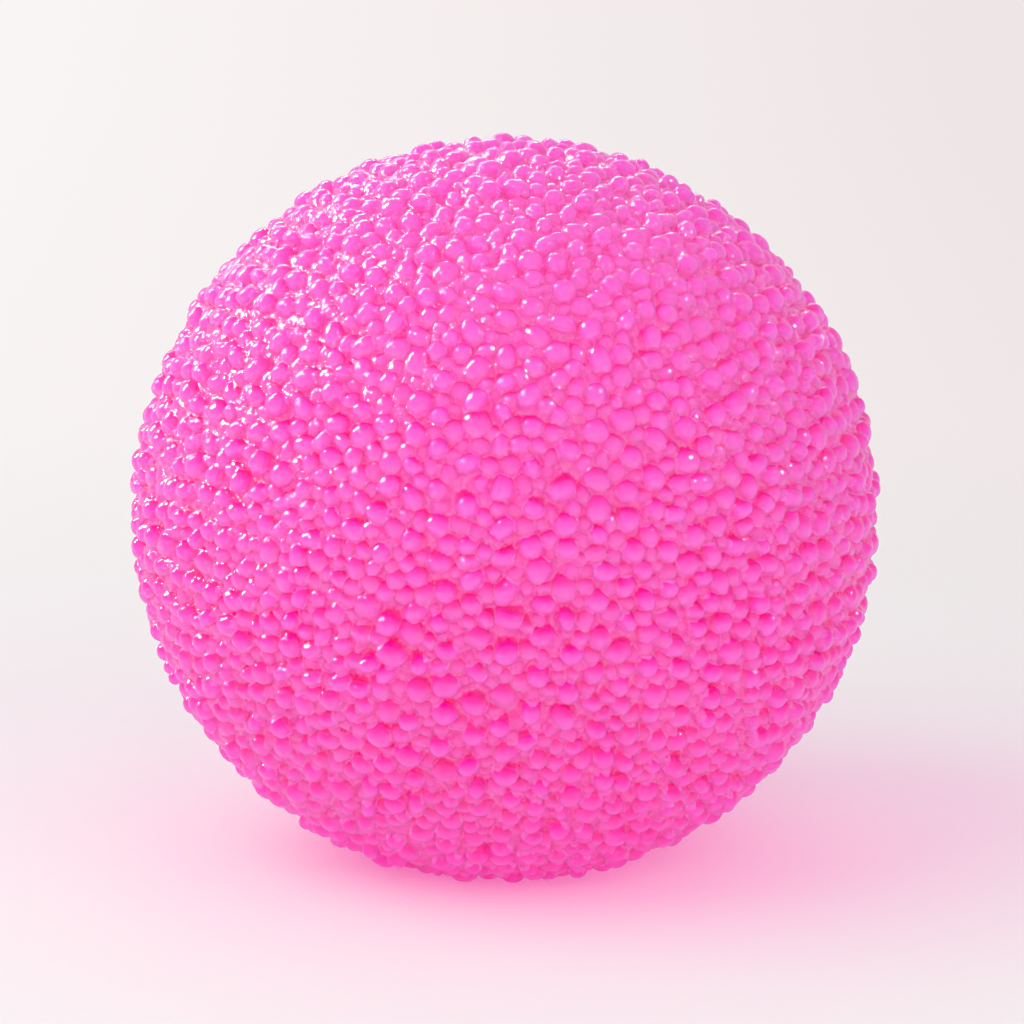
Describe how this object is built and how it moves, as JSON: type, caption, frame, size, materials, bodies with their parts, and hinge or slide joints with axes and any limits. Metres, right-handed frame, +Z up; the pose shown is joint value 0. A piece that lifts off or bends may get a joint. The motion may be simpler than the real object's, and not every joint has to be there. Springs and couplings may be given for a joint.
{
  "type": "sensory ball",
  "caption": "Soft hollow translucent rubber ball, covered all over in small round moulded nubs, that rests on a pressed-in flat and is closed by a push-in valve plug at the back.",
  "frame": {"origin": "centre of the pressed-in flat that the ball stands on, midway between its sides", "axes": "+Z up, -Y towards the viewer, +Y straight out of the valve at the back"},
  "size_m": [0.0747, 0.0747, 0.0722],
  "materials": {
    "skin": "glossy translucent bright pink soft rubber",
    "valve": "satin pale pink soft rubber",
    "plug": "satin translucent pink soft rubber"
  },
  "bodies": {
    "ball": {"skin": "skin", "valve_sleeve": "valve"},
    "plug": {"plug": "plug"}
  },
  "joints": [
    {"name": "plug_pull", "type": "slide", "parent": "ball", "child": "plug", "axis": [0, 1, 0], "range_m": [0, 0.014]}
  ]
}
